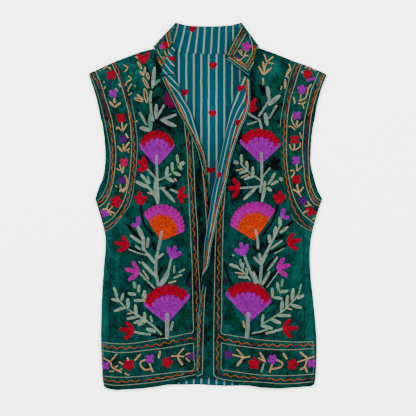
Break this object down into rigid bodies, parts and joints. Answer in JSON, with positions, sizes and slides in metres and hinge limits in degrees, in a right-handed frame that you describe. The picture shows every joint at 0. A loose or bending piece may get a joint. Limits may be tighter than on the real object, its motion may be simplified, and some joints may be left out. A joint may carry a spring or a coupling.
{
  "type": "embroidered velvet waistcoat",
  "caption": "Sleeveless velvet waistcoat laid flat and face up, with a stand collar, edges rolled open to show a striped lining, and chain-stitch flowers down both fronts.",
  "frame": {"origin": "middle of the waistcoat's outline, on the surface it lies on", "axes": "+Y from hem to collar, +Z out of the front it shows, +X towards the edge that laps over"},
  "size_m": [0.44, 0.6798, 0.0197],
  "materials": {
    "velvet": "emerald green pile with a soft sheen",
    "striped_cotton": "plain weave, teal with cream stripes and small red hearts",
    "embroidery": "chain stitch in red, magenta, purple, orange, sage, tan and cream thread"
  },
  "bodies": {
    "root": {"back_velvet": "velvet", "back_lining": "striped_cotton", "front_left_velvet": "velvet", "front_left_lining": "striped_cotton", "front_left_facing": "velvet", "front_right_velvet": "velvet", "front_right_lining": "striped_cotton", "front_right_facing": "velvet", "collar_velvet": "velvet", "collar_lining": "striped_cotton"}
  },
  "joints": []
}
